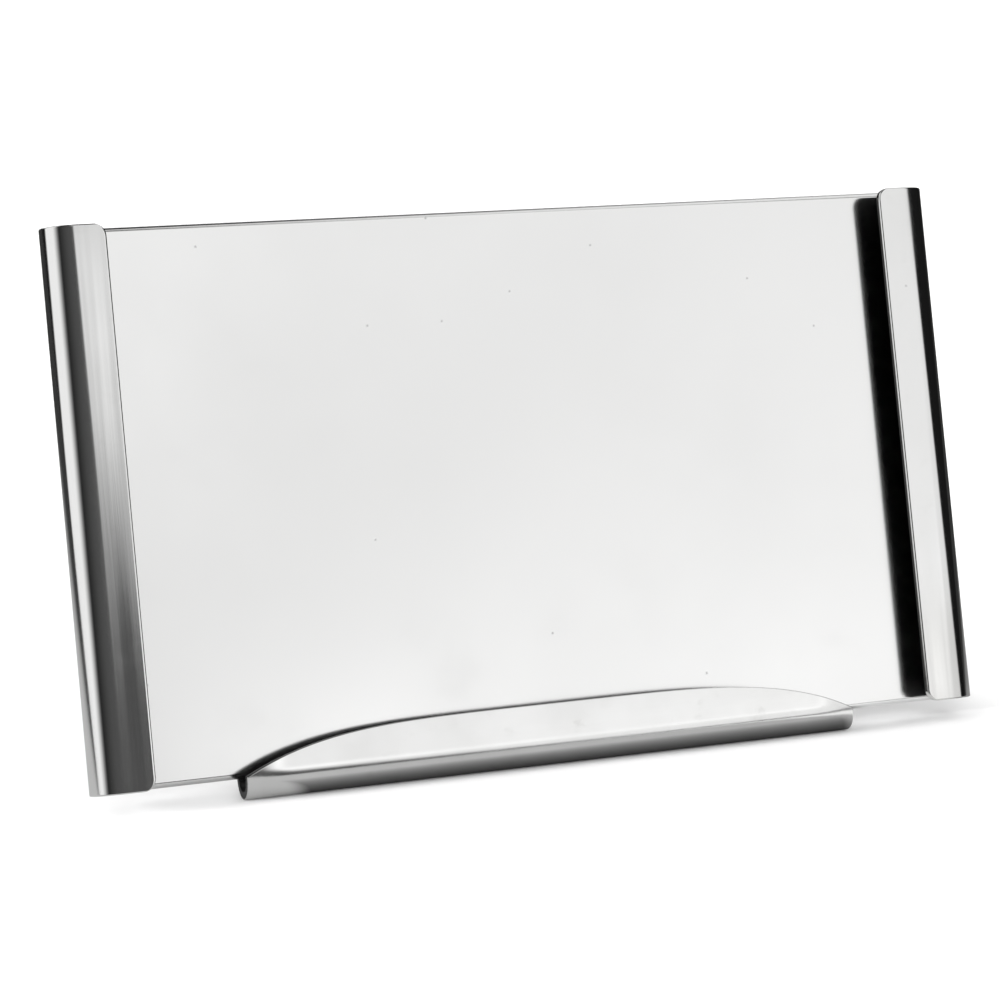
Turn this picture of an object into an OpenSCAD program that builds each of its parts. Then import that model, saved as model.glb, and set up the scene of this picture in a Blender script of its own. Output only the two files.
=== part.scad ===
// Place card holder: a plate leaning back, a channel on each side, a lip below and a folding strut behind.
// The pieces are drawn upright, with the plate's front face on y = 0 and its bottom edge on z = 0,
// and are then leaned back. The strut and its leaf are drawn folded, about the pin, and then swung open.

/* [Card] */
// Width of the card that the holder takes
card_w = 90; // [70:1:120]
// Play on each side of the card between the channels
card_play = 1; // [0.5:0.1:2]
// Space for the card between the plate and the front flanges
card_gap = 2.4; // [1.8:0.1:3.4]

/* [Plate] */
// Thickness of the sheet of the plate, channels and lip
sheet_t = 0.8; // [0.6:0.05:1]
// Height of the plate along its slope
plate_h = 53.7; // [46:0.1:70]
// Angle by which the plate leans back from upright
lean = 15.2; // [10:0.1:20]

/* [Channels] */
// Width of a channel from its outer bend to the inner edge of its front flange
flange_w = 5.9; // [5:0.1:9]
// Width of the leg soldered behind the plate
back_leg_w = 6; // [3:0.1:10]
// Corner radius at the ends of a flange's inner edge
flange_corner_r = 1.2; // [0.4:0.1:1.8]

/* [Lip] */
// Length of the lip along the plate's bottom edge
lip_w = 64.6; // [40:0.2:68]
// Height of the lip's crown above the plate's bottom edge
lip_h = 4.1; // [2.5:0.1:8]
// Height of the lip's ends above the plate's bottom edge
lip_end_h = 0.3; // [0.2:0.1:1.5]
// Exponent of the lip's outline: a higher one gives a flatter crown and steeper ends
lip_fullness = 4.4; // [2:0.1:6]

/* [Hinge] */
// Height of the hinge pin above the plate's bottom edge, along the plate
hinge_h = 36; // [30:0.5:42]
// Length of the hinge along its pin
hinge_w = 16; // [13:0.5:22]
// Length of the strut leaf's middle knuckle
mid_knuckle_w = 6; // [4:0.5:8]
// Height of a leaf below the pin
leaf_h = 9; // [7:0.5:12]
// Thickness of the leaves
leaf_t = 0.7; // [0.5:0.05:0.9]
// Diameter of the hinge pin
pin_d = 1.2; // [1:0.1:1.8]
// Diameter of the pin's peened heads
pin_head_d = 2; // [1.8:0.1:2.6]
// Thickness of the pin's peened heads
pin_head_t = 0.5; // [0.3:0.05:0.8]
// Radial running clearance of the pin in the knuckles
pin_clearance = 0.04; // [0.02:0.01:0.08]

/* [Strut] */
// Angle between the plate and the open strut
strut_angle = 33; // [28:0.5:42]
// Thickness of the strut
strut_t = 1; // [0.8:0.1:1.4]
// Width of the strut at its foot
foot_w = 14; // [9:0.5:20]
// Corner radius of the foot
foot_r = 2; // [0.5:0.1:3.5]
// Width of a stop ear
ear_w = 2.6; // [1.6:0.1:4]
// Diameter of the rivet shanks
rivet_d = 1.6; // [1.2:0.1:2]
// Diameter of the rivet heads
rivet_head_d = 2.8; // [2.4:0.1:3.4]
// Height of the rivet heads
rivet_head_t = 0.5; // [0.3:0.05:0.8]
// Distance between the two rivets
rivet_pitch = 9; // [7:0.5:9.5]
// Radial clearance of the rivets in their holes
rivet_clearance = 0.02; // [0.01:0.01:0.05]

/* [Clearances] */
// Gap between hinge pieces that move past each other
moving_gap = 0.3; // [0.2:0.05:0.5]
// Gap left between the stop ears and the plate when the strut is open
stop_gap = 0.1; // [0.05:0.05:0.2]

/* [Hidden] */
$fn = 96;
lip_steps = 64;

// Front face of the flanges and of the lip, in front of the plate's front face
front_d = card_gap + sheet_t;

// Channel bend: it wraps the plate from the back of the leg to the front of the flange
channel_r = (front_d + 2 * sheet_t) / 2;
channel_d = front_d - channel_r;
channel_in_r = channel_r - sheet_t;
// How far the inside of the bend reaches past the plate's edge, where the card lies on the plate
bend_reach = sqrt(channel_in_r * channel_in_r - channel_d * channel_d);
plate_w = card_w + 2 * card_play - 2 * bend_reach;

// Lip bend: it starts at the plate's bottom edge and has the plate's thickness at its back
lip_r = (front_d + sheet_t) / 2;
lip_d = front_d - lip_r;

// Hinge: the pin lies behind the plate, and the knuckles clear the plate's back
knuckle_r = pin_d / 2 + pin_clearance + leaf_t;
pin_y = sheet_t + moving_gap + knuckle_r;
end_knuckle_w = (hinge_w - mid_knuckle_w) / 2 - moving_gap;
notch_h = knuckle_r + moving_gap;

// Strut: its front face is tangent to the knuckles, and its ears meet the plate's back when it is open
tilt = strut_angle - lean;
ear_h = (pin_y - sheet_t - stop_gap + knuckle_r * cos(strut_angle)) / sin(strut_angle);
ear_x = hinge_w / 2 + pin_head_t + moving_gap;
rivet_drop = (notch_h + leaf_h) / 2;

// The lip's bend stands on z = 0, and the footprint is centred on the origin
lift = lip_r - lip_d * sin(lean);
pin_row_y = pin_y * cos(lean) + hinge_h * sin(lean);
pin_row_z = hinge_h * cos(lean) - pin_y * sin(lean) + lift;
strut_back = knuckle_r + strut_t;
front_reach = (pin_row_z + knuckle_r * sin(tilt)) / cos(tilt);
back_reach = (pin_row_z + strut_back * sin(tilt)) / cos(tilt);
front_row_y = min(-lip_d * cos(lean) - lip_r, -front_d * cos(lean));
back_row_y = pin_row_y + strut_back * cos(tilt) + back_reach * sin(tilt);
mid_y = (front_row_y + back_row_y) / 2;

// Overlap that lets a cut pass clear of a face
over = 1;

// Places what is drawn upright on the leaning plate
module leaning() {
    translate([0, -mid_y, lift]) rotate([-lean, 0, 0]) children();
}

// Places what is drawn folded, about the pin, on the open strut
module swung_open() {
    leaning() translate([0, pin_y, hinge_h]) rotate([strut_angle, 0, 0]) children();
}

// Turns a profile drawn in x and y, extruded upwards, so that it runs along x and its x points backwards
module along_x(length) {
    rotate([90, 0, 90]) linear_extrude(length, center = true) children();
}

// Turns an outline drawn in x and height, extruded to thickness, so that it stands with its front at y
module upright(y, thickness) {
    translate([0, y + thickness, 0]) rotate([90, 0, 0]) linear_extrude(thickness) children();
}

// Half of a ring, on the side where x is above zero
module half_ring(outer_r, inner_r) {
    difference() {
        circle(outer_r);
        circle(inner_r);
        translate([-outer_r - over, -outer_r - over]) square([outer_r + over, 2 * (outer_r + over)]);
    }
}

// What is cut off a square corner at the origin to round it
module corner_waste(r) {
    difference() {
        translate([-over, -over]) square(r + over);
        translate([r, r]) circle(r);
    }
}

// Right-hand channel
module channel() {
    half_w = plate_w / 2;
    flange_x = half_w + channel_r - flange_w;
    difference() {
        linear_extrude(plate_h) {
            translate([half_w - back_leg_w, sheet_t]) square([back_leg_w, sheet_t]);
            translate([half_w, -channel_d]) half_ring(channel_r, channel_in_r);
            translate([flange_x, -front_d]) square([half_w - flange_x, sheet_t]);
        }
        for (end = [0, 1])
            upright(-front_d - over, sheet_t + 2 * over)
                translate([flange_x, end * plate_h]) mirror([0, end]) corner_waste(flange_corner_r);
    }
}

// Height of the lip's top edge at a share of its half length, from -1 to 1
function lip_top(share) = lip_end_h + (lip_h - lip_end_h) * (1 - pow(abs(share), lip_fullness));

module lip_face() {
    top = [for (i = [0:lip_steps]) let (share = 1 - 2 * i / lip_steps) [share * lip_w / 2, lip_top(share)]];
    polygon(concat([[-lip_w / 2, 0], [lip_w / 2, 0]], top));
}

module knuckle(length) {
    along_x(length) difference() {
        circle(knuckle_r);
        circle(pin_d / 2 + pin_clearance);
    }
}

module end_knuckles() {
    for (side = [-1, 1]) translate([side * (hinge_w - end_knuckle_w) / 2, 0, 0]) knuckle(end_knuckle_w);
}

// Domed head with its flat side on z = 0
module domed_head(d, h) {
    dome_r = (d * d / 4 + h * h) / (2 * h);
    rotate_extrude() intersection() {
        translate([0, h - dome_r]) circle(dome_r);
        square([d, h]);
    }
}

module at_rivets() {
    for (side = [-1, 1]) translate([side * rivet_pitch / 2, 0, -rivet_drop]) children();
}

module rivet_holes() {
    at_rivets() rotate([-90, 0, 0]) cylinder(r = rivet_d / 2 + rivet_clearance, h = strut_back + over);
}

// Outline of the strut, with the pin at the origin
module strut_outline() {
    top_w = ear_x + ear_w;
    half = [[ear_x, -notch_h], [ear_x, ear_h], [top_w, ear_h], [top_w, -notch_h],
        [foot_w / 2, foot_r - front_reach], [foot_w / 2, -back_reach - over]];
    other_half = [for (i = [len(half) - 1:-1:0]) [-half[i].x, half[i].y]];
    difference() {
        polygon(concat(half, other_half));
        for (side = [0, 1]) mirror([side, 0]) translate([-foot_w / 2, -front_reach]) corner_waste(foot_r);
    }
}

module back_plate() {
    color("gainsboro") leaning()
        translate([-plate_w / 2, 0, 0]) cube([plate_w, sheet_t, plate_h]);
}

module left_channel() {
    color("silver") leaning() mirror([1, 0, 0]) channel();
}

module right_channel() {
    color("silver") leaning() channel();
}

module card_lip() {
    color("lightgray") leaning() {
        along_x(lip_w) translate([-lip_d, 0]) rotate(-90) half_ring(lip_r, lip_r - sheet_t);
        upright(-front_d, sheet_t) lip_face();
    }
}

module hinge_plate_leaf() {
    notch_w = mid_knuckle_w + 2 * moving_gap;
    color("darkgray") leaning() translate([0, 0, hinge_h]) {
        difference() {
            translate([-hinge_w / 2, sheet_t, -leaf_h]) cube([hinge_w, leaf_t, leaf_h]);
            translate([-notch_w / 2, sheet_t - over, -notch_h])
                cube([notch_w, leaf_t + 2 * over, notch_h + over]);
        }
        translate([0, pin_y, 0]) end_knuckles();
    }
}

module hinge_pin() {
    color("dimgray") leaning() translate([0, pin_y, hinge_h]) {
        rotate([0, 90, 0]) cylinder(d = pin_d, h = hinge_w, center = true);
        for (side = [0, 1])
            mirror([side, 0, 0]) translate([hinge_w / 2, 0, 0]) rotate([0, 90, 0])
                domed_head(pin_head_d, pin_head_t);
    }
}

module hinge_strut_leaf() {
    color("darkgray") swung_open() {
        difference() {
            translate([-hinge_w / 2, knuckle_r - leaf_t, -leaf_h]) cube([hinge_w, leaf_t, leaf_h]);
            for (side = [0, 1])
                mirror([side, 0, 0]) translate([mid_knuckle_w / 2, 0, -notch_h])
                    cube([hinge_w, knuckle_r + over, notch_h + over]);
            rivet_holes();
        }
        knuckle(mid_knuckle_w);
    }
}

module easel_strut() {
    color("silver") difference() {
        swung_open() difference() {
            upright(knuckle_r, strut_t) strut_outline();
            rivet_holes();
        }
        translate([-foot_w, back_row_y - mid_y - back_reach, -back_reach])
            cube([2 * foot_w, 2 * back_reach, back_reach]);
    }
}

module strut_rivets() {
    color("gray") swung_open() at_rivets() {
        translate([0, knuckle_r - leaf_t, 0]) rotate([-90, 0, 0]) cylinder(d = rivet_d, h = leaf_t + strut_t);
        translate([0, knuckle_r - leaf_t, 0]) rotate([90, 0, 0]) domed_head(rivet_head_d, rivet_head_t);
        translate([0, strut_back, 0]) rotate([-90, 0, 0]) domed_head(rivet_head_d, rivet_head_t);
    }
}

back_plate();
left_channel();
right_channel();
card_lip();
hinge_plate_leaf();
hinge_pin();
hinge_strut_leaf();
easel_strut();
strut_rivets();
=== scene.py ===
from bisect import bisect_right
from math import atan2, cos, pi, radians, sin, sqrt
from typing import NamedTuple

import bmesh
import bpy
from bpy.props import FloatProperty, FloatVectorProperty, PointerProperty
from mathutils import Matrix, Vector


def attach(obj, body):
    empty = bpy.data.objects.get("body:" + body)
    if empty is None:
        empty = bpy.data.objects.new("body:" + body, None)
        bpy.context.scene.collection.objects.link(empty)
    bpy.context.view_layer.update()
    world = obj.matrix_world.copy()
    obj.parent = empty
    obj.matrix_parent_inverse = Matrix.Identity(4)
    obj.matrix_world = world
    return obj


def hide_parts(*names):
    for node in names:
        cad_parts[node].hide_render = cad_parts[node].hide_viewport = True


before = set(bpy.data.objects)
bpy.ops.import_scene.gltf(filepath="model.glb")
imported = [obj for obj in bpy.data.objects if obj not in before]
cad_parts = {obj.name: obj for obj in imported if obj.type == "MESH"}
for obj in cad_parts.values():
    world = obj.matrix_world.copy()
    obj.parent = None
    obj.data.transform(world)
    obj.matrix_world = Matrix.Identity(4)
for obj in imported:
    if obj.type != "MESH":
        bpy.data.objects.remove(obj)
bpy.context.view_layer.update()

bl_info = {
    "name": "Place Card Holder",
    "version": (1, 0, 0),
    "blender": (4, 5, 0),
    "location": "View3D > Sidebar > Holder",
    "description": "Polished steel place card holder with side channels, a card lip and a folding strut",
    "category": "Object",
}

MM = 0.001
STAND = "stand"
STRUT = "strut"


# Plate coordinates: across the plate, up its slope and out of its front face

def plate_frame():
    """Matrix from plate coordinates to the row frame, with the front face's bottom edge as origin."""
    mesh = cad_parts["back_plate"].data
    facing = [p for p in mesh.polygons if p.normal.y < 0]
    front = max(facing, key=lambda p: p.area)
    out = front.normal.normalized()
    across = Vector((1, 0, 0))
    up = out.cross(across)
    corners = [mesh.vertices[i].co for i in front.vertices]
    foot = min(corners, key=lambda c: c.dot(up))
    origin = up * foot.dot(up) + out * foot.dot(out)
    turn = Matrix((across, up, out)).transposed().to_4x4()
    return Matrix.Translation(origin) @ turn


PLATE = plate_frame()
LEAN = atan2(PLATE[1][1], PLATE[2][1])


def measured(node):
    """A CAD node's points in plate coordinates."""
    to_plate = PLATE.inverted()
    return [to_plate @ v.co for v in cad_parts[node].data.vertices]


def span(points, axis):
    values = [p[axis] for p in points]
    return min(values), max(values)


PLATE_POINTS = measured("back_plate")
HALF_W = span(PLATE_POINTS, 0)[1]
SHEET_T = -span(PLATE_POINTS, 2)[0]


# Settings

class HolderSheetSettings(bpy.types.PropertyGroup):
    """Sizes of the bent sheet pieces."""

    plate_round: FloatProperty(
        name="Plate Round", description="How far the plate's polished edges are rounded over its faces",
        default=0.55 * MM, min=0.05 * MM, max=1 * MM, unit="LENGTH")
    plate_dubbing: FloatProperty(
        name="Plate Dubbing", description="How much longer the plate's rounded edges are than deep",
        default=1.5, min=1.4, max=3)
    channel_edge_round: FloatProperty(
        name="Channel Edge Round", description="Radius of the long edges of the channels",
        default=0.2 * MM, min=0.05 * MM, max=0.39 * MM, unit="LENGTH")
    lip_edge_round: FloatProperty(
        name="Lip Edge Round", description="Radius of the long edges of the lip",
        default=0.08 * MM, min=0.05 * MM, max=0.39 * MM, unit="LENGTH")
    end_round: FloatProperty(
        name="End Round", description="Radius of the cut ends of the channels and the lip",
        default=0.12 * MM, min=0.05 * MM, max=0.39 * MM, unit="LENGTH")
    left_flange_open: FloatProperty(
        name="Left Flange Opening",
        description="Angle by which the left channel's bend stops short of a half turn",
        default=radians(4.7), min=radians(-8), max=radians(8), subtype="ANGLE")
    right_flange_open: FloatProperty(
        name="Right Flange Opening",
        description="Angle by which the right channel's bend stops short of a half turn",
        default=radians(-2.2), min=radians(-8), max=radians(8), subtype="ANGLE")
    flange_stretch: FloatProperty(
        name="Flange Bend Stretch",
        description="How much longer the bend is towards the flange than a half circle",
        default=1.42, min=1, max=1.6)
    flange_sink: FloatProperty(
        name="Flange Sink",
        description="How far the sprung flange starts behind the front of the channel",
        default=0.12 * MM, min=0, max=0.3 * MM, unit="LENGTH")
    lip_ease: FloatProperty(
        name="Lip Ease",
        description="Share of the lip's bend over which it straightens into the lip's face",
        default=0.35, min=0.01, max=0.6, subtype="FACTOR")
    lip_clear: FloatProperty(
        name="Lip Clearance",
        description="How much the eased bend is drawn in so that it stays above the floor",
        default=0.03 * MM, min=0, max=0.2 * MM, unit="LENGTH")
    lip_end_h: FloatProperty(
        name="Lip End Height", description="Height of the lip's ends above the plate's bottom edge",
        default=0.3 * MM, min=0, max=2 * MM, unit="LENGTH")
    lip_fullness: FloatProperty(
        name="Lip Fullness",
        description="Exponent of the lip's outline: a higher one gives a flatter crown",
        default=4.4, min=2, max=6)
    lip_flare: FloatProperty(
        name="Lip Flare", description="Angle by which the lip's ends lean out from the plate",
        default=radians(6), min=0, max=radians(20), subtype="ANGLE")
    lip_lean: FloatProperty(
        name="Lip Lean", description="Angle by which the whole lip leans out from the plate",
        default=radians(-1), min=radians(-5), max=radians(5), subtype="ANGLE")
    lip_flare_run: FloatProperty(
        name="Lip Flare Run", description="Length at each end of the lip that leans out",
        default=4.5 * MM, min=0, max=10 * MM, unit="LENGTH")
    seam_width: FloatProperty(
        name="Seam Width", description="Width of the solder seams behind the plate",
        default=0.45 * MM, min=0.1 * MM, max=1 * MM, unit="LENGTH")
    fitting_round: FloatProperty(
        name="Fitting Edge Round", description="Radius of the edges of the strut and the hinge",
        default=0.12 * MM, min=0.02 * MM, max=0.3 * MM, unit="LENGTH")


class HolderFinishSettings(bpy.types.PropertyGroup):
    """Colours and polish of the metal."""

    polished: FloatVectorProperty(
        name="Polished Steel", description="Colour of the polished steel",
        default=(0.90, 0.90, 0.895), min=0, max=1, size=3, subtype="COLOR")
    dulled: FloatVectorProperty(
        name="Dulled Steel", description="Colour of the polished steel where handling has dulled it",
        default=(0.85, 0.85, 0.845), min=0, max=1, size=3, subtype="COLOR")
    stained: FloatVectorProperty(
        name="Stained Steel", description="Colour of the polished steel where it is stained",
        default=(0.69, 0.687, 0.675), min=0, max=1, size=3, subtype="COLOR")
    satin: FloatVectorProperty(
        name="Satin Steel", description="Colour of the brushed steel of the strut and the hinge",
        default=(0.62, 0.62, 0.61), min=0, max=1, size=3, subtype="COLOR")
    # Near-black colour: painted shade inside the bends and on the lip's edges and cut ends
    inside_painted_shade: FloatVectorProperty(
        name="Unpolished Inside Painted Shade", description="Near-black colour of the unpolished steel inside the bends, as painted shade",
        default=(0.07, 0.07, 0.07), min=0, max=1, size=3, subtype="COLOR")
    polish_roughness: FloatProperty(
        name="Polish Roughness", description="Roughness of the polished faces",
        default=0.16, min=0, max=1, subtype="FACTOR")


class HolderStageSettings(bpy.types.PropertyGroup):
    """View and light."""

    view_azimuth: FloatProperty(
        name="View Azimuth", description="Direction of the camera round the holder, from its front",
        default=radians(-21.15), subtype="ANGLE")
    view_elevation: FloatProperty(
        name="View Elevation", description="Height of the camera as an angle",
        default=radians(12.38), subtype="ANGLE")
    view_distance: FloatProperty(
        name="View Distance", description="Distance from the camera to the point that it looks at",
        default=0.2842, min=0.05, unit="LENGTH")
    view_target: FloatVectorProperty(
        name="View Target", description="Point that the camera looks at",
        default=(-0.00549, -0.01129, 0.02698), size=3, subtype="TRANSLATION", unit="LENGTH")
    lens: FloatProperty(
        name="Lens", description="Focal length of the camera in millimetres",
        default=105.23, min=20, max=300)
    floor_colour: FloatVectorProperty(
        name="Floor", description="Colour of the floor",
        default=(0.93, 0.93, 0.93), min=0, max=1, size=3, subtype="COLOR")


# Meshes

# Points closer than this are one point
WELD = 0.001 * MM
# Faces that turn less than this are one face, and edges that turn more than the next are rounded
FLAT_ANGLE = radians(0.4)
SHARP_ANGLE = radians(35)
# How far from an edge the flat column and the bend's last column lie, in radii of the edge's round
FLAT_COLUMN = 1.3
BEND_COLUMN = 2
# How strongly the stations crowd towards a sheet's end
CROWDING = 1.5
FILLET_STEPS = 6
BEAD_STEPS = 10
# Share of a seam's size at its very end, and the run of its taper in seam widths
TAPER_START = 0.2
TAPER_RUN = 3
# Size, radians per millimetre and phase of the ripples in a seam
RIPPLES = ((0.08, 1.9, 0), (0.06, 0.83, 1))


def add_piece(name, bm, body, slot, *nodes):
    """Turns a bmesh in the row frame into a smooth piece that rides on a body and stands for CAD nodes."""
    bmesh.ops.recalc_face_normals(bm, faces=bm.faces)
    mesh = bpy.data.meshes.new(name)
    bm.to_mesh(mesh)
    bm.free()
    mesh.shade_smooth()
    piece = bpy.data.objects.new(name, mesh)
    bpy.context.scene.collection.objects.link(piece)
    normals = piece.modifiers.new("even_faces", "WEIGHTED_NORMAL")
    normals.mode = "FACE_AREA"
    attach(piece, body)
    if nodes:
        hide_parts(*nodes)
    return piece


def softened(node, radius, segments=3, dubbing=1):
    """A CAD node's shape with its sharp edges rounded, dubbing times as long along the plate as deep."""
    thicker = PLATE @ Matrix.Diagonal((1, 1, dubbing, 1)) @ PLATE.inverted()
    bm = bmesh.new()
    bm.from_mesh(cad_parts[node].data)
    bmesh.ops.remove_doubles(bm, verts=bm.verts, dist=WELD)
    bmesh.ops.dissolve_limit(bm, angle_limit=FLAT_ANGLE, verts=bm.verts, edges=bm.edges)
    bm.transform(thicker)
    sharp = [e for e in bm.edges if len(e.link_faces) == 2 and e.calc_face_angle() > SHARP_ANGLE]
    bmesh.ops.bevel(bm, geom=sharp, offset=radius, offset_type="OFFSET", segments=segments,
                    profile=0.5, affect="EDGES", clamp_overlap=True)
    bm.transform(thicker.inverted())
    return bm


def bend_line(reach, depth, turn, ease, stretch, steps=60):
    """Points and outward normals of a bend's middle line, from +x round counterclockwise.

    It starts at y = 0, ends at y = depth and reaches out to x = reach. Its curvature fades out over
    its last share, ease, and the half past its outermost point is stretched along x."""
    rate = turn / (1 - ease / 2)
    angles = []
    for i in range(steps + 1):
        rest = 1 - i / steps
        angles.append(turn - rate * (rest * rest / (2 * ease) if rest < ease else rest - ease / 2))
    points = [Vector((0, 0))]
    for first, second in zip(angles, angles[1:]):
        middle = (first + second) / 2
        points.append(points[-1] + Vector((cos(middle), sin(middle))))
    scale = depth / points[-1].y
    outermost = max(p.x for p in points) * scale
    line = []
    for point, angle in zip(points, angles):
        place = point * scale + Vector((reach - outermost, 0))
        normal = Vector((sin(angle), -cos(angle)))
        if angle > pi / 2:
            place.x = reach - (reach - place.x) * stretch
            normal = Vector((normal.x / stretch, normal.y)).normalized()
        line.append((place, normal))
    return line


def round_steps(radius, count=5):
    """Distances from an edge at which its round is divided."""
    return [radius * (1 - cos(pi / 2 * i / count)) for i in range(count + 1)]


def round_half(distance, half, radius):
    """Half the sheet's thickness at a distance from its edge."""
    short = max(0, radius - distance)
    return half - radius + sqrt(max(0, radius * radius - short * short))


def strip(bend, start_x, end_x, rounding):
    """Points, normals and distances to the nearer long edge across a strip that ends at end_x.

    It starts at start_x or, where that is None, with the bend itself. A flat column beside each round
    keeps the faces evenly lit."""
    steps = round_steps(rounding) + [FLAT_COLUMN * rounding]
    (first, first_normal), (last, last_normal) = bend[0], bend[-1]
    along = Vector((-last_normal.y, last_normal.x))
    lengths = [0.0]
    for (point, _), (following, _) in zip(bend, bend[1:]):
        lengths.append(lengths[-1] + (following - point).length)
    cut = lengths[-1] + (end_x - last.x) / along.x
    if cut < lengths[-1]:
        past = max(i for i, (point, _) in enumerate(bend) if point.x > end_x)
        share = (bend[past][0].x - end_x) / (bend[past][0].x - bend[past + 1][0].x)
        cut = lengths[past] + share * (lengths[past + 1] - lengths[past])

    def at(distance):
        if distance >= lengths[-1]:
            return last + along * (distance - lengths[-1]), last_normal
        i = bisect_right(lengths, distance) - 1
        share = (distance - lengths[i]) / (lengths[i + 1] - lengths[i])
        (point, normal), (following, turned) = bend[i], bend[i + 1]
        return point.lerp(following, share), normal.lerp(turned, share).normalized()

    shrink = min(1, (cut - BEND_COLUMN * rounding) / lengths[-1])
    row = []
    if start_x is not None:
        row += [(Vector((start_x + step, first.y)), first_normal, step) for step in steps]
    row += [(*at(length * shrink), rounding) for length in lengths]
    row += [(*at(cut - step), step) for step in reversed(steps)]
    return row


def folded_sheet(stations, strip_at, place, thickness, end_round, edge_round, edge_material=0):
    """A closed bent sheet with rounded edges, whose inner skin takes the second material.

    strip_at(station) gives the strip there, and place(point, station) turns its points into plate
    coordinates. The border takes edge_material."""
    bm = bmesh.new()
    outer, inner = [], []
    half = thickness / 2
    for station in stations:
        end_gap = min(station - stations[0], stations[-1] - station)
        outer.append([])
        inner.append([])
        for point, normal, edge_gap in strip_at(station):
            depth = min(round_half(end_gap, half, end_round), round_half(edge_gap, half, edge_round))
            for skin, side in ((outer, 1), (inner, -1)):
                skin[-1].append(bm.verts.new(PLATE @ place(point + normal * depth * side, station)))
    rows, columns = len(outer), len(outer[0])
    for material, skin in enumerate((outer, inner)):
        for i in range(rows - 1):
            for j in range(columns - 1):
                face = bm.faces.new((skin[i][j], skin[i][j + 1], skin[i + 1][j + 1], skin[i + 1][j]))
                face.material_index = material
    border = [(i, 0) for i in range(rows)]
    border += [(rows - 1, j) for j in range(1, columns)]
    border += [(i, columns - 1) for i in range(rows - 2, -1, -1)]
    border += [(0, j) for j in range(columns - 2, 0, -1)]
    for (i, j), (k, m) in zip(border, border[1:] + border[:1]):
        face = bm.faces.new((outer[i][j], outer[k][m], inner[k][m], inner[i][j]))
        face.material_index = edge_material
    return bm


def stations_between(start, end, rounding, corner, corner_count, middle_count):
    """Stations along a sheet, close together at its rounded ends and at its corners."""
    near = round_steps(rounding)
    near += [rounding + (corner - rounding) * (i / corner_count) ** CROWDING
             for i in range(1, corner_count + 1)]
    middle = [corner + (end - start - 2 * corner) * i / middle_count for i in range(1, middle_count)]
    gaps = near + middle + [end - start - gap for gap in reversed(near)]
    return [start + gap for gap in gaps]


def arc(turn, steps):
    """Angles that divide a turn into equal steps."""
    return [turn * i / steps for i in range(steps + 1)]


FILLET = [(0, 0)] + [(1 - sin(angle), 1 - cos(angle)) for angle in arc(pi / 2, FILLET_STEPS)]
BEAD = [(cos(angle), sin(angle)) for angle in arc(pi, BEAD_STEPS)]


def add_seam(bm, profile, start, end, across, out, width, height, steps=64):
    """Adds a slightly uneven solder seam along a straight joint, whose ends taper.

    A profile point's two numbers are shares of the width along across and of the height along out."""
    length = (end - start).length
    rings = []
    for i in range(steps + 1):
        along = length * i / steps
        taper = min(1, TAPER_START + min(along, length - along) / width / TAPER_RUN)
        swell = taper * (1 + sum(size * sin(along / MM * rate + phase) for size, rate, phase in RIPPLES))
        middle = start.lerp(end, i / steps)
        rings.append([
            bm.verts.new(PLATE @ (middle + across * (a * width * swell) + out * (b * height * swell)))
            for a, b in profile])
    for first, second in zip(rings, rings[1:]):
        for j in range(len(profile)):
            k = (j + 1) % len(profile)
            bm.faces.new((first[j], first[k], second[k], second[j]))
    bm.faces.new(rings[0])
    bm.faces.new(rings[-1])


# Finishes

# Scales of the noise, per millimetre
HAZE_SCALE = 0.035
BLOTCH_SCALE = 0.12
INSIDE_SCALE = 0.3
SATIN_SCALE = 0.12
# How much finer finger marks are than clouds
MARKS_FINER = 4.3
# Cells per millimetre, a pit's size in cells and the share of the cells that has a pit
PIT_SCALE = 0.12
PIT_SIZE = 0.026
PIT_SHARE = 0.2
PIT_DEPTH = 0.006 * MM
PIT_COLOUR = (0.62, 0.62, 0.62)
# How far clouds dull the polish, and how much clouds and marks roughen it
CLOUD_DULLING = 0.5
CLOUD_ROUGHNESS = 0.03
MARK_ROUGHNESS = 0.02
# Millimetres up the slope and across between which the darkening at the right channel's foot fades
FOOT_UP = (14.0, 3.0)
FOOT_ACROSS = (30.0, 38.0)
# Still darker colour that the clouds mix into the painted shade inside the bends
INSIDE_PAINTED_SHADE = (0.03, 0.03, 0.03)
INSIDE_ROUGHNESS = (0.38, 0.55)
# Tone of the darker brushing, and how far streaks and marks bring it in
SATIN_DARKENING = 0.8
STREAK_SHADE = 0.6
MARK_SHADE = 0.4
SATIN_ROUGHNESS = (0.3, 0.4)
SATIN_GRAIN = 0.004 * MM


def group_tree(name, inputs, outputs):
    """A shader node group with the given sockets, each a type, a name and, for an input, a default."""
    tree = bpy.data.node_groups.new(name, "ShaderNodeTree")
    for kind, label, default in inputs:
        socket = tree.interface.new_socket(label, in_out="INPUT", socket_type=kind)
        socket.default_value = default
    for kind, label in outputs:
        tree.interface.new_socket(label, in_out="OUTPUT", socket_type=kind)
    return tree, tree.nodes.new("NodeGroupInput").outputs, tree.nodes.new("NodeGroupOutput").inputs


def feed(tree, socket, value):
    """Links an output to a socket, or sets the socket's value."""
    if isinstance(value, bpy.types.NodeSocket):
        tree.links.new(value, socket)
    else:
        socket.default_value = value


def math_node(tree, operation, *values, clamp=False):
    node = tree.nodes.new("ShaderNodeMath")
    node.operation = operation
    node.use_clamp = clamp
    for socket, value in zip(node.inputs, values):
        feed(tree, socket, value)
    return node.outputs[0]


def ramp(tree, value, low, high, to_low=0.0, to_high=1.0):
    """Value taken from low..high to to_low..to_high with smooth ends."""
    node = tree.nodes.new("ShaderNodeMapRange")
    node.interpolation_type = "SMOOTHSTEP"
    for socket, item in zip(node.inputs, (value, low, high, to_low, to_high)):
        feed(tree, socket, item)
    return node.outputs[0]


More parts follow.
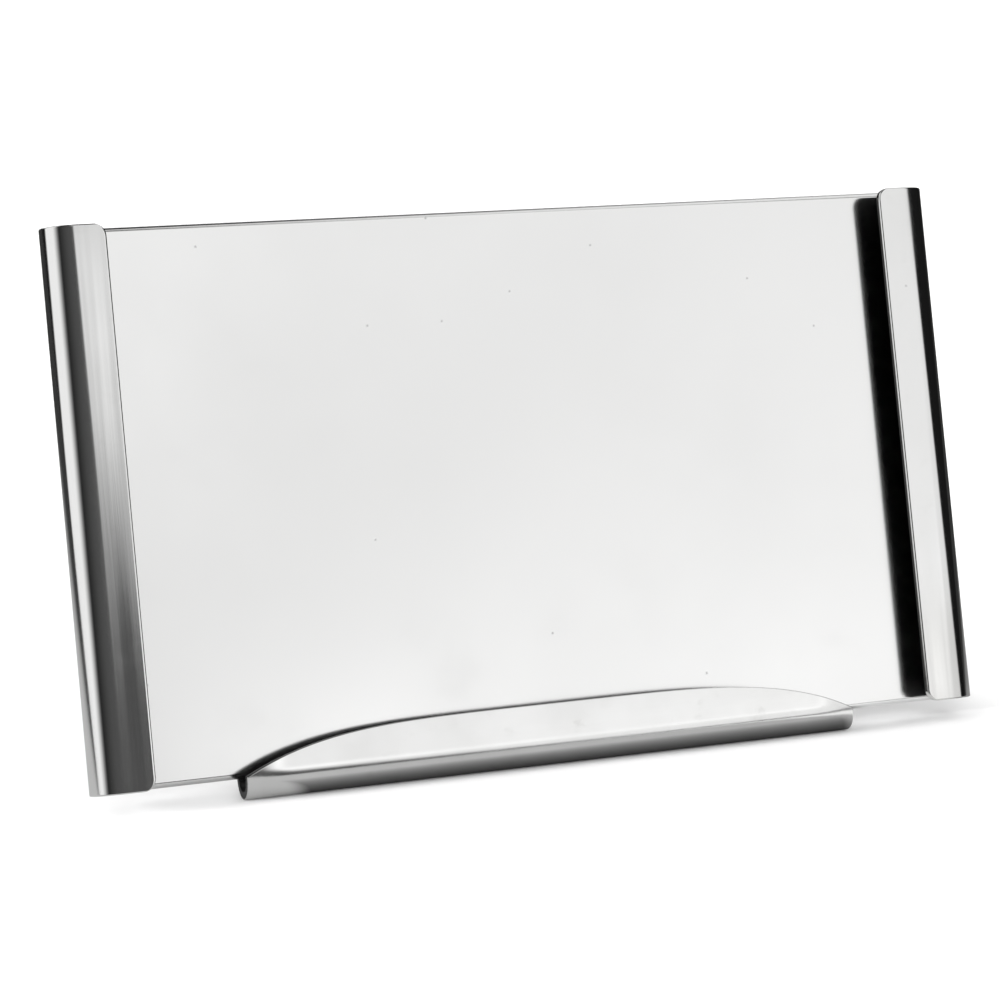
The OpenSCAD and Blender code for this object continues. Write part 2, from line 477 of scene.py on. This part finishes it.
def noise(tree, vector, scale, detail=2.0, roughness=0.5):
    node = tree.nodes.new("ShaderNodeTexNoise")
    feed(tree, node.inputs["Vector"], vector)
    feed(tree, node.inputs["Scale"], scale)
    node.inputs["Detail"].default_value = detail
    node.inputs["Roughness"].default_value = roughness
    return node.outputs["Fac"]


def stretched(tree, vector, factors):
    node = tree.nodes.new("ShaderNodeVectorMath")
    node.operation = "MULTIPLY"
    feed(tree, node.inputs[0], vector)
    feed(tree, node.inputs[1], factors)
    return node.outputs[0]


def mix_colour(tree, share, first, second):
    """Mix of two colours, by the numbers of a Mix node's colour sockets."""
    node = tree.nodes.new("ShaderNodeMix")
    node.data_type = "RGBA"
    feed(tree, node.inputs["Factor"], share)
    feed(tree, node.inputs[6], first)
    feed(tree, node.inputs[7], second)
    return node.outputs[2]


def components(tree, vector):
    """A vector's x, y and z as outputs."""
    node = tree.nodes.new("ShaderNodeSeparateXYZ")
    tree.links.new(vector, node.inputs[0])
    return node.outputs


def grain_group():
    """Fine lines left by polishing, as a height, long in the direction where Spread is small."""
    tree, given, result = group_tree(
        "polishing_grain",
        [("NodeSocketVector", "Vector", (0, 0, 0)), ("NodeSocketVector", "Spread", (1, 1, 1))],
        [("NodeSocketFloat", "Height"), ("NodeSocketFloat", "Streaks")])
    vector = stretched(tree, given["Vector"], given["Spread"])
    fine = noise(tree, vector, scale=1.0, detail=4.0, roughness=0.65)
    coarse = noise(tree, vector, scale=0.22, detail=3.0, roughness=0.6)
    feed(tree, result["Height"], math_node(tree, "ADD", fine, coarse))
    feed(tree, result["Streaks"], ramp(tree, coarse, 0.35, 0.68))
    return tree


def haze_group():
    """Soft clouds and finger marks in a polish, from 0 to 1."""
    tree, given, result = group_tree(
        "polish_haze",
        [("NodeSocketVector", "Vector", (0, 0, 0)), ("NodeSocketFloat", "Scale", HAZE_SCALE)],
        [("NodeSocketFloat", "Cloud"), ("NodeSocketFloat", "Marks")])
    cloud = noise(tree, given["Vector"], given["Scale"], detail=3.0, roughness=0.55)
    finer = math_node(tree, "MULTIPLY", given["Scale"], MARKS_FINER)
    marks = noise(tree, given["Vector"], finer, detail=5.0, roughness=0.6)
    feed(tree, result["Cloud"], ramp(tree, cloud, 0.3, 0.7))
    feed(tree, result["Marks"], ramp(tree, marks, 0.56, 0.74))
    return tree


def pits_group():
    """Sparse small pits in the plane of x and z, 1 in a pit and 0 around it."""
    tree, given, result = group_tree(
        "pits",
        [("NodeSocketVector", "Vector", (0, 0, 0)), ("NodeSocketFloat", "Scale", PIT_SCALE),
         ("NodeSocketFloat", "Size", PIT_SIZE), ("NodeSocketFloat", "Share", PIT_SHARE)],
        [("NodeSocketFloat", "Pit")])
    parts = components(tree, given["Vector"])
    flat = tree.nodes.new("ShaderNodeCombineXYZ")
    tree.links.new(parts["X"], flat.inputs["X"])
    tree.links.new(parts["Z"], flat.inputs["Y"])
    cells = tree.nodes.new("ShaderNodeTexVoronoi")
    cells.voronoi_dimensions = "2D"
    feed(tree, cells.inputs["Vector"], flat.outputs[0])
    feed(tree, cells.inputs["Scale"], given["Scale"])
    chance = tree.nodes.new("ShaderNodeSeparateColor")
    tree.links.new(cells.outputs["Color"], chance.inputs[0])
    chosen = math_node(tree, "LESS_THAN", chance.outputs[0], given["Share"])
    near = ramp(tree, cells.outputs["Distance"], given["Size"], 0.0)
    feed(tree, result["Pit"], math_node(tree, "MULTIPLY", chosen, near))
    return tree


def effect(tree, group, **values):
    """Places a shared effect in a material and returns its outputs."""
    node = tree.nodes.new("ShaderNodeGroup")
    node.node_tree = bpy.data.node_groups[group]
    for label, value in values.items():
        feed(tree, node.inputs[label], value)
    return node.outputs


def plate_vector(tree):
    """Object coordinates turned so that x runs across the plate and z up its slope, in millimetres."""
    place = tree.nodes.new("ShaderNodeTexCoord").outputs["Object"]
    turn = tree.nodes.new("ShaderNodeMapping")
    turn.inputs["Rotation"].default_value = (LEAN, 0, 0)
    turn.inputs["Scale"].default_value = (1 / MM, 1 / MM, 1 / MM)
    tree.links.new(place, turn.inputs["Vector"])
    return turn.outputs[0]


def bump(tree, height, distance, normal=None):
    node = tree.nodes.new("ShaderNodeBump")
    node.inputs["Strength"].default_value = 1.0
    node.inputs["Distance"].default_value = distance
    tree.links.new(height, node.inputs["Height"])
    if normal is not None:
        tree.links.new(normal, node.inputs["Normal"])
    return node.outputs[0]


def rgba(colour):
    return (*colour, 1.0)


def new_material(name, metallic=1.0):
    material = bpy.data.materials.new(name)
    material.use_nodes = True
    tree = material.node_tree
    shader = tree.nodes["Principled BSDF"]
    shader.inputs["Metallic"].default_value = metallic
    return material, tree, shader


def foot_darkening(tree, vector):
    """How far the sheet is darkened towards the foot of the right channel, from 0 to 1."""
    parts = components(tree, vector)
    low = ramp(tree, parts["Z"], *FOOT_UP)
    right = ramp(tree, parts["X"], *FOOT_ACROSS)
    return math_node(tree, "MULTIPLY", low, right)


def polished_steel(name, spread, grain_depth, rough_extra=0.0, streak_rough=0.0,
                   tone=1.0, stains=0.0, foot=0.0):
    """Polished sheet with haze, pits and polishing lines that are long where spread is small.

    Tone darkens its colours, stains is how far its blotches stain it, and foot how far it darkens towards
    the foot of the right channel."""
    finish = bpy.context.scene.holder_finish
    material, tree, shader = new_material(name)
    vector = plate_vector(tree)
    haze = effect(tree, "polish_haze", Vector=vector, Scale=HAZE_SCALE)
    grain = effect(tree, "polishing_grain", Vector=vector, Spread=spread)
    pits = effect(tree, "pits", Vector=vector, Scale=PIT_SCALE, Size=PIT_SIZE, Share=PIT_SHARE)["Pit"]
    dull = math_node(tree, "MULTIPLY", haze["Cloud"], CLOUD_DULLING)
    polished, dulled = (tuple(c * tone for c in colour) for colour in (finish.polished, finish.dulled))
    colour = mix_colour(tree, dull, rgba(polished), rgba(dulled))
    if stains:
        blotches = effect(tree, "polish_haze", Vector=vector, Scale=BLOTCH_SCALE)
        stain = math_node(tree, "MULTIPLY", blotches["Cloud"], stains)
        # The darkening towards the right channel's foot joins the blotches' stain
        at_foot = math_node(tree, "MULTIPLY", foot_darkening(tree, vector), foot)
        stain = math_node(tree, "ADD", stain, at_foot)
        marked = math_node(tree, "MULTIPLY", blotches["Marks"], stains)
        stain = math_node(tree, "ADD", stain, marked, clamp=True)
        colour = mix_colour(tree, stain, colour, rgba(finish.stained))
    colour = mix_colour(tree, pits, colour, rgba(PIT_COLOUR))
    tree.links.new(colour, shader.inputs["Base Color"])
    low = finish.polish_roughness - CLOUD_ROUGHNESS + rough_extra
    rough = ramp(tree, haze["Cloud"], 0.0, 1.0, low, low + CLOUD_ROUGHNESS)
    rough = math_node(tree, "ADD", rough, math_node(tree, "MULTIPLY", haze["Marks"], MARK_ROUGHNESS))
    if streak_rough:
        streaks = math_node(tree, "MULTIPLY", grain["Streaks"], streak_rough)
        rough = math_node(tree, "ADD", rough, streaks)
    tree.links.new(rough, shader.inputs["Roughness"])
    lines = bump(tree, grain["Height"], grain_depth * MM)
    tree.links.new(bump(tree, pits, -PIT_DEPTH, lines), shader.inputs["Normal"])
    return material


def unpolished_steel_painted_shade(name):
    """Dull sheet inside the bends, where no polishing wheel reaches, with a near-black colour that paints
    the shade there.
    """
    finish = bpy.context.scene.holder_finish
    material, tree, shader = new_material(name)
    vector = plate_vector(tree)
    haze = effect(tree, "polish_haze", Vector=vector, Scale=INSIDE_SCALE)
    colour = mix_colour(tree, haze["Cloud"], rgba(finish.inside_painted_shade), rgba(INSIDE_PAINTED_SHADE))
    tree.links.new(colour, shader.inputs["Base Color"])
    tree.links.new(ramp(tree, haze["Marks"], 0.0, 1.0, *INSIDE_ROUGHNESS), shader.inputs["Roughness"])
    return material


def satin_steel(name, spread):
    """Brushed steel of the strut and the hinge."""
    finish = bpy.context.scene.holder_finish
    material, tree, shader = new_material(name)
    vector = plate_vector(tree)
    grain = effect(tree, "polishing_grain", Vector=vector, Spread=spread)
    haze = effect(tree, "polish_haze", Vector=vector, Scale=SATIN_SCALE)
    darker = tuple(c * SATIN_DARKENING for c in finish.satin)
    shade = math_node(tree, "MULTIPLY", grain["Streaks"], STREAK_SHADE)
    marked = math_node(tree, "MULTIPLY", haze["Marks"], MARK_SHADE)
    shade = math_node(tree, "ADD", shade, marked, clamp=True)
    tree.links.new(mix_colour(tree, shade, rgba(finish.satin), rgba(darker)), shader.inputs["Base Color"])
    tree.links.new(ramp(tree, haze["Cloud"], 0.0, 1.0, *SATIN_ROUGHNESS), shader.inputs["Roughness"])
    tree.links.new(bump(tree, grain["Height"], SATIN_GRAIN), shader.inputs["Normal"])
    return material


# Pieces

# Points this close to an end lie on it
AT_END = 0.01 * MM
# Share of a channel's bend over which it straightens
CHANNEL_EASE = 0.01
# Depth behind the plate, in sheet thicknesses, within which the plate leaf's flat lies
LEAF_DEPTH = 1.2
# Width and height of the bead along the lip as shares of the seam's width
BEAD_WIDTH = 0.7
BEAD_HEIGHT = 0.3


class HOLDER_OT_finishes(bpy.types.Operator):
    """Build the shared finishes of the metal"""

    bl_idname = "holder.finishes"
    bl_label = "Finishes"

    def execute(self, context):
        grain_group()
        haze_group()
        pits_group()
        return {"FINISHED"}


class HOLDER_OT_plate(bpy.types.Operator):
    """Build the leaning back plate with its polished face"""

    bl_idname = "holder.plate"
    bl_label = "Back Plate"

    def execute(self, context):
        sheet = context.scene.holder_sheet
        bm = softened("back_plate", sheet.plate_round, 5, sheet.plate_dubbing)
        plate = add_piece("plate", bm, STAND, "polished_plate", "back_plate")
        plate.data.materials.append(
            polished_steel("plate_polish", spread=(0.5, 0.5, 0.1), grain_depth=0.0006))
        return {"FINISHED"}


class HOLDER_OT_channels(bpy.types.Operator):
    """Build the two side channels with their sprung flanges"""

    bl_idname = "holder.channels"
    bl_label = "Side Channels"

    def execute(self, context):
        sheet = context.scene.holder_sheet
        outside = polished_steel(
            "channel_polish", spread=(2.2, 2.2, 0.03), grain_depth=0.0012, rough_extra=-0.08,
            streak_rough=0.09, tone=0.95, stains=0.12, foot=0.9)
        # The channels' inner skins take a near-black colour as painted shade
        inside = unpolished_steel_painted_shade("channel_inside_painted_shade")
        for side, name, opening in (
                (-1, "left_channel", sheet.left_flange_open),
                (1, "right_channel", sheet.right_flange_open)):
            bm = self.channel(sheet, name, side, opening)
            piece = add_piece(f"{name}_bend", bm, STAND, "polished_channel", name)
            piece.data.materials.append(outside)
            piece.data.materials.append(inside)
        return {"FINISHED"}

    def channel(self, sheet, node, side, opening):
        points = measured(node)
        back, front = span(points, 2)
        bottom, top = span(points, 1)
        centre = (front + back) / 2
        leg_z = back + SHEET_T / 2
        depth = front - back - SHEET_T
        flange = [p for p in points if p.z > front - SHEET_T / 2]
        flange_x = min(side * p.x for p in flange) - HALF_W
        leg_x = min(side * p.x for p in points if p.z < centre) - HALF_W
        corner_x = min(side * p.x for p in flange if p.y < bottom + AT_END) - HALF_W
        corner = corner_x - flange_x
        bend = bend_line(
            depth / 2, depth - sheet.flange_sink, pi - opening, CHANNEL_EASE, sheet.flange_stretch)

        def strip_at(height):
            missing = max(0, corner - min(height - bottom, top - height))
            inset = corner - sqrt(max(0, corner * corner - missing * missing))
            return strip(bend, leg_x, flange_x + inset, sheet.channel_edge_round)

        def place(point, height):
            return Vector((side * (HALF_W + point.x), height, leg_z + point.y))

        stations = stations_between(
            bottom, top, sheet.end_round, corner, corner_count=8, middle_count=12)
        return folded_sheet(stations, strip_at, place, SHEET_T, sheet.end_round, sheet.channel_edge_round)


class HOLDER_OT_lip(bpy.types.Operator):
    """Build the card lip along the plate's bottom edge, with its ends leaning out"""

    bl_idname = "holder.lip"
    bl_label = "Card Lip"

    def execute(self, context):
        sheet = context.scene.holder_sheet
        points = measured("card_lip")
        left, right = span(points, 0)
        crown = span(points, 1)[1]
        depth = span(points, 2)[1]
        half_w = (right - left) / 2

        def strip_at(across):
            share = abs(across) / half_w
            height = sheet.lip_end_h + (crown - sheet.lip_end_h) * (1 - share ** sheet.lip_fullness)
            run = min(1, max(0, (abs(across) - half_w) / sheet.lip_flare_run + 1))
            flare = sheet.lip_lean + sheet.lip_flare * run * run * (3 - 2 * run)
            bend = bend_line(
                depth / 2 - sheet.lip_clear, depth - sheet.lip_clear, pi - flare,
                sheet.lip_ease, stretch=1.0)
            return strip(bend, None, -height, sheet.lip_edge_round)

        def place(point, across):
            return Vector((across, -point.x, point.y - SHEET_T / 2))

        stations = stations_between(
            left, right, sheet.end_round, sheet.lip_flare_run, corner_count=14, middle_count=48)
        bm = folded_sheet(
            stations, strip_at, place, SHEET_T, sheet.end_round, sheet.lip_edge_round, edge_material=1)
        lip = add_piece("lip", bm, STAND, "polished_lip", "card_lip")
        lip.data.materials.append(polished_steel(
            "lip_polish", spread=(0.03, 2.0, 2.0), grain_depth=0.001, rough_extra=-0.03, stains=0.3))
        # The lip's inner skin, long edges and cut ends take a near-black colour as painted shade
        lip.data.materials.append(unpolished_steel_painted_shade("lip_inside_painted_shade"))
        return {"FINISHED"}


class HOLDER_OT_seams(bpy.types.Operator):
    """Build the solder seams behind the plate, along the channels, the lip and the hinge's plate leaf"""

    bl_idname = "holder.seams"
    bl_label = "Solder Seams"

    def execute(self, context):
        width = context.scene.holder_sheet.seam_width
        back = -SHEET_T
        inwards, upwards, behind = Vector((1, 0, 0)), Vector((0, 1, 0)), Vector((0, 0, -1))
        bm = bmesh.new()
        for side, node in ((-1, "left_channel"), (1, "right_channel")):
            points = measured(node)
            bottom, top = span(points, 1)
            edge = side * min(abs(p.x) for p in points if p.z < back)
            add_seam(bm, FILLET, Vector((edge, bottom + width, back)), Vector((edge, top - width, back)),
                     inwards * -side, behind, width, width)
        half_w = span(measured("card_lip"), 0)[1]
        add_seam(bm, BEAD, Vector((-half_w, 0, back)), Vector((half_w, 0, back)), upwards, behind,
                 width * BEAD_WIDTH, width * BEAD_HEIGHT)
        leaf = [p for p in measured("hinge_plate_leaf") if p.z > back - LEAF_DEPTH * SHEET_T]
        leaf_w = span(leaf, 0)[1]
        bottom, top = span(leaf, 1)
        for side in (-1, 1):
            edge = side * leaf_w
            add_seam(bm, FILLET, Vector((edge, bottom, back)), Vector((edge, top - 2 * width, back)),
                     inwards * side, behind, width, width)
        add_seam(bm, FILLET, Vector((-leaf_w, bottom, back)), Vector((leaf_w, bottom, back)),
                 -upwards, behind, width, width)
        seams = add_piece("solder_seams", bm, STAND, "polished_channel")
        seams.data.materials.append(satin_steel("solder", spread=(1.0, 1.0, 1.0)))
        return {"FINISHED"}


class HOLDER_OT_hinge(bpy.types.Operator):
    """Build the hinge's leaves and pin"""

    bl_idname = "holder.hinge"
    bl_label = "Hinge"

    def execute(self, context):
        radius = context.scene.holder_sheet.fitting_round
        leaf = satin_steel("leaf_brushing", spread=(0.06, 3.0, 3.0))
        pin = satin_steel("pin_brushing", spread=(0.5, 3.0, 3.0))
        for name, node, body, slot, material in (
                ("plate_leaf", "hinge_plate_leaf", STAND, "hinge_steel", leaf),
                ("strut_leaf", "hinge_strut_leaf", STRUT, "hinge_steel", leaf),
                ("pin", "hinge_pin", STAND, "pin_steel", pin)):
            piece = add_piece(name, softened(node, radius), body, slot, node)
            piece.data.materials.append(material)
        return {"FINISHED"}


class HOLDER_OT_strut(bpy.types.Operator):
    """Build the folding strut and its rivets"""

    bl_idname = "holder.strut"
    bl_label = "Strut"

    def execute(self, context):
        radius = context.scene.holder_sheet.fitting_round
        blade = softened("easel_strut", radius)
        strut = add_piece("strut_blade", blade, STRUT, "strut_steel", "easel_strut")
        strut.data.materials.append(satin_steel("strut_brushing", spread=(3.0, 0.08, 0.06)))
        heads = softened("strut_rivets", radius / 2)
        rivets = add_piece("rivets", heads, STRUT, "pin_steel", "strut_rivets")
        rivets.data.materials.append(satin_steel("rivet_brushing", spread=(2.0, 2.0, 2.0)))
        return {"FINISHED"}


# Stage

class SoftBox(NamedTuple):
    """A soft rectangle of light, in degrees of azimuth, from the front towards the right, and elevation.

    It moves left by slant for each degree of elevation. A strength below zero takes light away."""

    left: float
    right: float
    bottom: float
    top: float
    soft_left: float
    soft_right: float
    soft_end: float
    slant: float
    strength: float


SOFTBOXES = {
    "wall": SoftBox(22.3, 64.0, -30.0, 40.0, 2.2, 2.2, 8.0, 0.875, 0.885),
    "left_streak": SoftBox(-26.7, -7.0, 11.0, 17.0, 2.7, 4.0, 0.8, -3.33, 0.03),
    "low_glow": SoftBox(9.0, 23.0, 9.4, 12.3, 2.0, 3.0, 1.0, 0.0, 0.24),
    "flag": SoftBox(1.0, 11.0, 22.4, 45.0, 2.0, 3.0, 1.0, 0.0, -0.2),
    "dark_cloud": SoftBox(-5.5, 2.5, 12.0, 21.0, 2.5, 2.5, 1.5, -1.2, -0.08),
    "low_right_glow": SoftBox(24.0, 36.0, 10.6, 12.1, 2.0, 2.0, 0.9, 0.0, 0.48),
    "overhead": SoftBox(25.0, 110.0, 40.0, 68.0, 6.0, 10.0, 8.0, 0.0, 0.85),
    "left_card": SoftBox(-100.0, -52.0, -10.0, 60.0, 5.0, 13.0, 6.0, 0.0, 0.98),
    "front_fill": SoftBox(-30.0, 30.0, -20.0, 40.0, 22.0, 22.0, 8.0, 0.0, 0.07),
    "back_left": SoftBox(-200.0, -110.0, 22.0, 52.0, 8.0, 8.0, 8.0, 0.0, 0.8),
    "back_right": SoftBox(120.0, 200.0, 22.0, 52.0, 8.0, 8.0, 8.0, 0.0, 0.8),
}
# Light of the room between the boxes
ROOM_LIGHT = 0.01


class Sun(NamedTuple):
    """A distant lamp: its azimuth, elevation and spread in degrees, and its strength."""

    name: str
    azimuth: float
    elevation: float
    spread: float
    strength: float


SUNS = (Sun("key", -90, 9, 24, 9.5), Sun("front", -15, 20, 50, 2.0), Sun("dome", -60, 55, 140, 1.1))

FLOOR_REACH = 4.0
# Middle of the floor's lit pool, and the distances from it over which it fades
POOL_MIDDLE = (-30 * MM, 0, 0)
POOL_FADE = (30 * MM, 220 * MM)
# Place of the lip's contact with the floor, and the distances over which its shade fades
CONTACT_X = 3 * MM
CONTACT_Y = -12.5 * MM
CONTACT_FADE = (0.0, 9 * MM)
CONTACT_SHARE = (0.1, 1.0)
CONTACT_END = (28 * MM, 31 * MM)
# Where the floor's lit patch at the right begins and ends
PATCH_BEGIN = (34 * MM, 37 * MM)
PATCH_END = (47 * MM, 45 * MM)
# Where the floor starts to glow white to the camera, as painted light over the holder's faint shadow at
# the right, and how strongly
GLOW_BEGIN = (47 * MM, 53 * MM)
GLOW_STRENGTH = 0.12
# Grey of the floor as the metal mirrors it: far off, in the pool and in the patch
FAR_GREY = 0.03
POOL_GREY = 0.42
PATCH_GREY = 0.8


def towards(azimuth, elevation):
    """Direction at an azimuth, from the front towards the right, and an elevation."""
    return Vector((sin(azimuth) * cos(elevation), -cos(azimuth) * cos(elevation), sin(elevation)))


def softbox_group():
    """Mask of a soft rectangle of light in azimuth and elevation, both in degrees."""
    labels = ("Azimuth", "Elevation", "Left", "Right", "Bottom", "Top",
              "Soft_Left", "Soft_Right", "Soft_End", "Slant")
    tree, given, result = group_tree(
        "softbox", [("NodeSocketFloat", label, 0.0) for label in labels], [("NodeSocketFloat", "Mask")])
    shift = math_node(tree, "MULTIPLY", given["Slant"], given["Elevation"])
    azimuth = math_node(tree, "ADD", given["Azimuth"], shift)
    edges = (
        (azimuth, given["Left"], given["Soft_Left"], 1),
        (azimuth, given["Right"], given["Soft_Right"], -1),
        (given["Elevation"], given["Bottom"], given["Soft_End"], 1),
        (given["Elevation"], given["Top"], given["Soft_End"], -1))
    mask = None
    for value, edge, soft, side in edges:
        reach = math_node(tree, "MULTIPLY", soft, side)
        near = math_node(tree, "SUBTRACT", edge, reach)
        inside = ramp(tree, value, near, math_node(tree, "ADD", edge, reach))
        mask = inside if mask is None else math_node(tree, "MULTIPLY", mask, inside)
    feed(tree, result["Mask"], mask)
    return tree


def studio_world():
    """World of soft boxes, which the camera itself sees as plain white."""
    softbox_group()
    world = bpy.data.worlds.new("studio")
    world.use_nodes = True
    tree = world.node_tree
    direction = tree.nodes.new("ShaderNodeTexCoord").outputs["Generated"]
    parts = components(tree, direction)
    ahead = math_node(tree, "MULTIPLY", parts["Y"], -1.0)
    azimuth = math_node(tree, "DEGREES", math_node(tree, "ARCTAN2", parts["X"], ahead))
    elevation = math_node(tree, "DEGREES", math_node(tree, "ARCSINE", parts["Z"]))
    light = ROOM_LIGHT
    for box in SOFTBOXES.values():
        mask = effect(
            tree, "softbox", Azimuth=azimuth, Elevation=elevation, Left=box.left, Right=box.right,
            Bottom=box.bottom, Top=box.top, Soft_Left=box.soft_left, Soft_Right=box.soft_right,
            Soft_End=box.soft_end, Slant=box.slant)["Mask"]
        light = math_node(tree, "ADD", math_node(tree, "MULTIPLY", mask, box.strength), light)
    seen = tree.nodes.new("ShaderNodeLightPath").outputs["Is Camera Ray"]
    background = tree.nodes["Background"]
    strength = tree.nodes.new("ShaderNodeMix")
    tree.links.new(seen, strength.inputs["Factor"])
    tree.links.new(light, strength.inputs[2])
    strength.inputs[3].default_value = 1.0
    tree.links.new(strength.outputs[0], background.inputs["Strength"])
    background.inputs["Color"].default_value = (1, 1, 1, 1)
    return world


def grey(level):
    return rgba((level, level, level))


def floor_material(colour):
    """White floor, which the metal mirrors darker: with a lit pool, the lip's contact shade and a lit
    patch. To the camera it glows white at the right as painted light.
    """
    material, tree, shader = new_material("floor_paper", metallic=0.0)
    shader.inputs["Roughness"].default_value = 1.0
    shader.inputs["Specular IOR Level"].default_value = 0.0
    place = tree.nodes.new("ShaderNodeTexCoord").outputs["Object"]
    parts = components(tree, place)
    radius = tree.nodes.new("ShaderNodeVectorMath")
    radius.operation = "DISTANCE"
    tree.links.new(place, radius.inputs[0])
    radius.inputs[1].default_value = POOL_MIDDLE
    pool = ramp(tree, radius.outputs["Value"], *POOL_FADE)
    ahead = math_node(tree, "ABSOLUTE", math_node(tree, "SUBTRACT", parts["Y"], CONTACT_Y))
    aside = math_node(tree, "ABSOLUTE", math_node(tree, "SUBTRACT", parts["X"], CONTACT_X))
    beside = ramp(tree, aside, *CONTACT_END)
    contact = math_node(tree, "MAXIMUM", ramp(tree, ahead, *CONTACT_FADE, *CONTACT_SHARE), beside)
    share = math_node(tree, "MULTIPLY", math_node(tree, "SUBTRACT", 1.0, pool), contact)
    mirrored = mix_colour(tree, share, grey(FAR_GREY), grey(POOL_GREY))
    patch = ramp(tree, parts["X"], *PATCH_BEGIN)
    patch = math_node(tree, "MULTIPLY", patch, ramp(tree, parts["X"], *PATCH_END))
    mirrored = mix_colour(tree, patch, mirrored, grey(PATCH_GREY))
    seen = tree.nodes.new("ShaderNodeLightPath").outputs["Is Camera Ray"]
    tree.links.new(mix_colour(tree, seen, mirrored, rgba(colour)), shader.inputs["Base Color"])
    # Painted light: to the camera the floor glows white beyond the holder's right end
    painted_glow = ramp(tree, parts["X"], *GLOW_BEGIN, 0.0, GLOW_STRENGTH)
    tree.links.new(math_node(tree, "MULTIPLY", seen, painted_glow), shader.inputs["Emission Strength"])
    shader.inputs["Emission Color"].default_value = grey(1.0)
    return material


def add_sun(sun):
    """Adds a sun that leaves no reflection in the metal."""
    light = bpy.data.lights.new(sun.name, "SUN")
    light.angle = radians(sun.spread)
    light.energy = sun.strength
    lamp = bpy.data.objects.new(sun.name, light)
    direction = towards(radians(sun.azimuth), radians(sun.elevation))
    lamp.rotation_euler = direction.to_track_quat("Z", "Y").to_euler()
    lamp.visible_glossy = False
    bpy.context.scene.collection.objects.link(lamp)


class HOLDER_OT_stage(bpy.types.Operator):
    """Set up the floor, the soft studio light and the camera"""

    bl_idname = "holder.stage"
    bl_label = "Stage"

    def execute(self, context):
        scene = context.scene
        stage = scene.holder_stage
        scene.world = studio_world()
        scene.view_settings.view_transform = "Standard"
        mesh = bpy.data.meshes.new("floor")
        corners = ((-1, -1), (1, -1), (1, 1), (-1, 1))
        mesh.from_pydata([(x * FLOOR_REACH, y * FLOOR_REACH, 0) for x, y in corners], [], [(0, 1, 2, 3)])
        floor = bpy.data.objects.new("floor", mesh)
        floor.data.materials.append(floor_material(stage.floor_colour))
        scene.collection.objects.link(floor)
        for sun in SUNS:
            add_sun(sun)
        camera = bpy.data.objects.new("camera", bpy.data.cameras.new("camera"))
        camera.data.lens = stage.lens
        camera.data.sensor_width = 36
        camera.data.clip_start = 0.01
        camera.data.clip_end = 20
        back = towards(stage.view_azimuth, stage.view_elevation)
        camera.location = Vector(stage.view_target) + back * stage.view_distance
        camera.rotation_euler = back.to_track_quat("Z", "Y").to_euler()
        scene.collection.objects.link(camera)
        scene.camera = camera
        return {"FINISHED"}


class HOLDER_PT_panel(bpy.types.Panel):
    """Pieces and settings of the place card holder"""

    bl_idname = "HOLDER_PT_panel"
    bl_label = "Place Card Holder"
    bl_space_type = "VIEW_3D"
    bl_region_type = "UI"
    bl_category = "Holder"

    def draw(self, context):
        layout = self.layout
        for step in STEPS:
            layout.operator(step.bl_idname)
        for group, _ in SETTINGS:
            settings = getattr(context.scene, group)
            box = layout.box()
            for name in settings.__annotations__:
                box.prop(settings, name)


SETTINGS = (
    ("holder_sheet", HolderSheetSettings), ("holder_finish", HolderFinishSettings),
    ("holder_stage", HolderStageSettings))
STEPS = (HOLDER_OT_finishes, HOLDER_OT_plate, HOLDER_OT_channels, HOLDER_OT_lip, HOLDER_OT_seams,
         HOLDER_OT_hinge, HOLDER_OT_strut, HOLDER_OT_stage)


def register():
    for name, settings in SETTINGS:
        bpy.utils.register_class(settings)
        setattr(bpy.types.Scene, name, PointerProperty(type=settings))
    for step in STEPS:
        bpy.utils.register_class(step)
    bpy.utils.register_class(HOLDER_PT_panel)


def unregister():
    bpy.utils.unregister_class(HOLDER_PT_panel)
    for step in reversed(STEPS):
        bpy.utils.unregister_class(step)
    for name, settings in reversed(SETTINGS):
        delattr(bpy.types.Scene, name)
        bpy.utils.unregister_class(settings)


def main():
    register()
    bpy.ops.holder.finishes()
    bpy.ops.holder.plate()
    bpy.ops.holder.channels()
    bpy.ops.holder.lip()
    bpy.ops.holder.seams()
    bpy.ops.holder.hinge()
    bpy.ops.holder.strut()
    bpy.ops.holder.stage()


if __name__ == "__main__":
    main()
